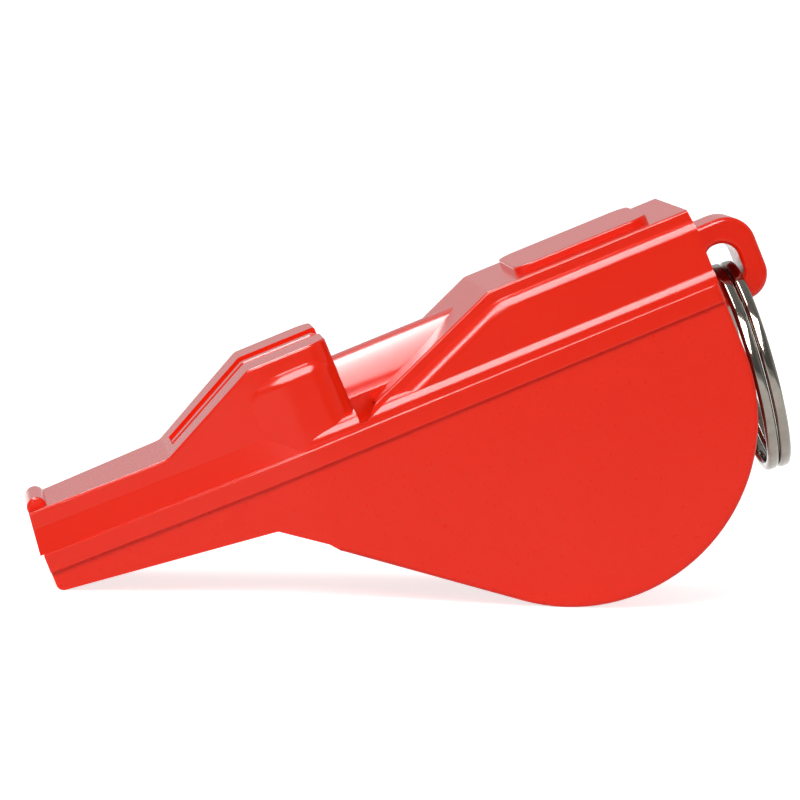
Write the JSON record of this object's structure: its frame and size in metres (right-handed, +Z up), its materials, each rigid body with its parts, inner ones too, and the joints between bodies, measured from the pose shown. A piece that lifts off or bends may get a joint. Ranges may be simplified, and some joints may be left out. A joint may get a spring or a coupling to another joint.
{
  "type": "sports whistle",
  "caption": "Pealess sports whistle with a tapered mouthpiece, grooved hump, open sound windows, arched ridge, round bulb and a swinging split ring in a lanyard eye.",
  "frame": {"origin": "on the floor under the whistle, half way along its overall length and on its middle plane", "axes": "+X runs level from the mouthpiece towards the ring, +Y runs across to the far side, +Z is up as it stands on its lip and bulb"},
  "size_m": [0.0612, 0.02, 0.0316],
  "materials": {
    "shell_plastic": "glossy moulded",
    "divider_plastic": "glossy moulded",
    "bulb_plastic": "satin moulded",
    "ring_metal": "nickel plated"
  },
  "bodies": {
    "whistle": {"upper_shell": "shell_plastic", "centre_divider": "divider_plastic", "lower_shell": "bulb_plastic"},
    "ring": {"split_ring": "ring_metal"}
  },
  "joints": [
    {"name": "ring_swing", "type": "hinge", "parent": "whistle", "child": "ring", "pos_m": [0.0247, 0, 0.02665], "axis": [0, -1, 0], "range_deg": [0, 190]}
  ]
}
